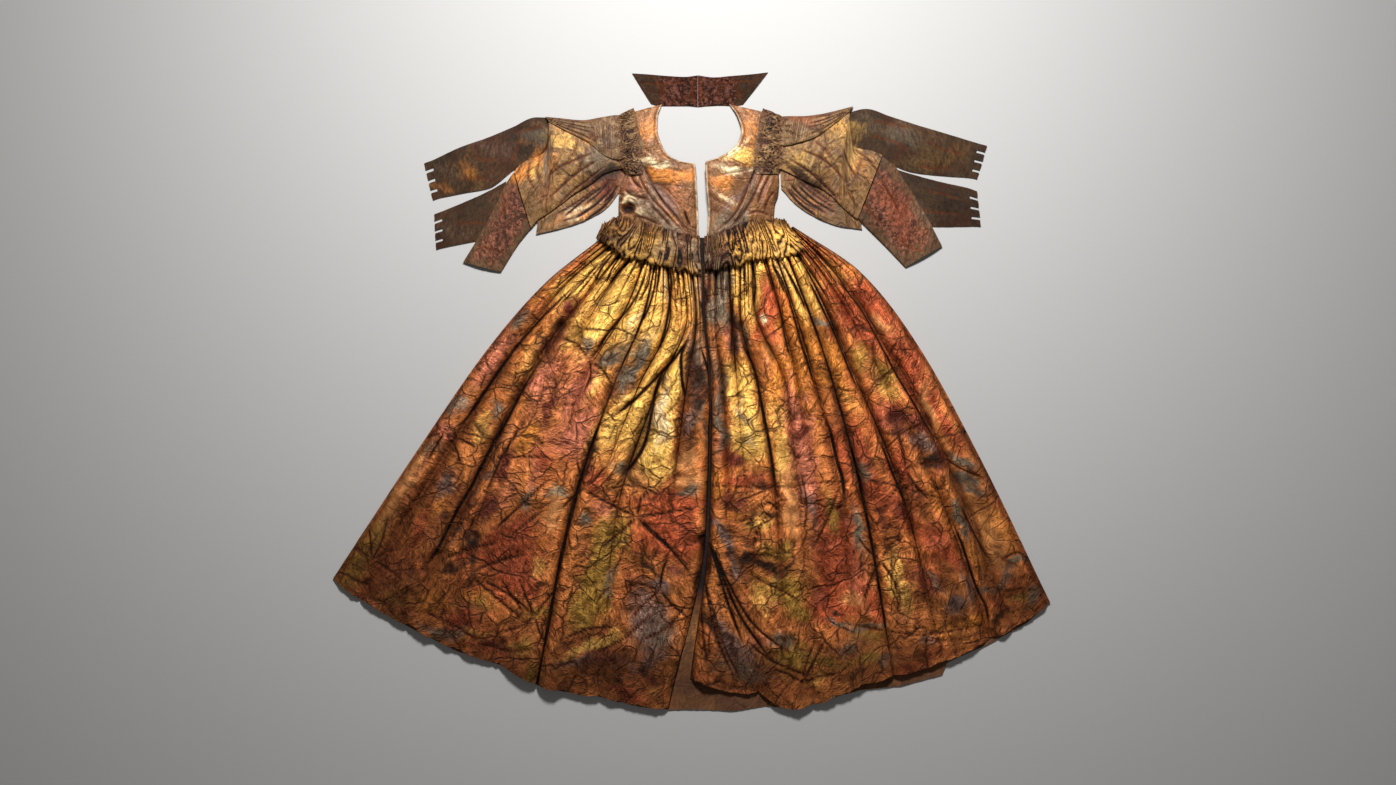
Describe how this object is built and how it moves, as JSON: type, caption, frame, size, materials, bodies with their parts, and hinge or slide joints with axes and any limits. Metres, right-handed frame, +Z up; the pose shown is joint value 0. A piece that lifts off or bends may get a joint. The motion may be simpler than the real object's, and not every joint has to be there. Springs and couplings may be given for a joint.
{
  "type": "baroque wedding dress",
  "caption": "Baroque silk wedding dress laid out flat: open bodice, puffed sleeves with hanging tabbed panes, gathered waist and a full pleated skirt.",
  "frame": {"origin": "the middle of the laid-out dress, on the surface that it lies on", "axes": "+X to the right of someone who looks down on the dress with its collar at the top, +Y towards the collar, +Z up"},
  "size_m": [1.685, 1.5016, 0.0452],
  "materials": {
    "skirt_satin": "worn silk satin with a soft broken sheen, stained gold, rust, rose and dark grey",
    "gathered_silk": "fine gathered silk, matt, with dark folds",
    "bodice_satin": "silk satin with a bright sheen, orange and gold with pale worn places",
    "sleeve_silk": "thin matt silk, grey brown with gold patches",
    "worn_damask": "worn napped damask, reddish brown, with brown borders",
    "plain_back": "plain silk, brown, matt"
  },
  "bodies": {
    "root": {"collar_left": "worn_damask", "collar_right": "worn_damask", "bodice_back_left": "plain_back", "bodice_back_right": "plain_back", "bodice_side_left": "bodice_satin", "bodice_side_right": "bodice_satin", "bodice_front_left": "bodice_satin", "bodice_front_right": "bodice_satin", "armhole_left": "gathered_silk", "armhole_right": "gathered_silk", "skirt_back": "plain_back", "skirt_side_left": "skirt_satin", "skirt_centre_left": "skirt_satin", "skirt_centre_right": "skirt_satin", "skirt_side_right": "skirt_satin", "heading_left": "gathered_silk", "heading_right": "gathered_silk", "sleeve_back_left": "sleeve_silk", "sleeve_pane_upper_left": "sleeve_silk", "sleeve_pane_lower_left": "sleeve_silk", "cuff_back_left": "sleeve_silk", "cuff_front_left": "worn_damask", "sleeve_front_left": "sleeve_silk", "sleeve_wing_left": "gathered_silk", "sleeve_back_right": "sleeve_silk", "sleeve_pane_upper_right": "sleeve_silk", "sleeve_pane_lower_right": "sleeve_silk", "cuff_back_right": "sleeve_silk", "cuff_front_right": "worn_damask", "sleeve_front_right": "sleeve_silk", "sleeve_wing_right": "gathered_silk"}
  },
  "joints": []
}
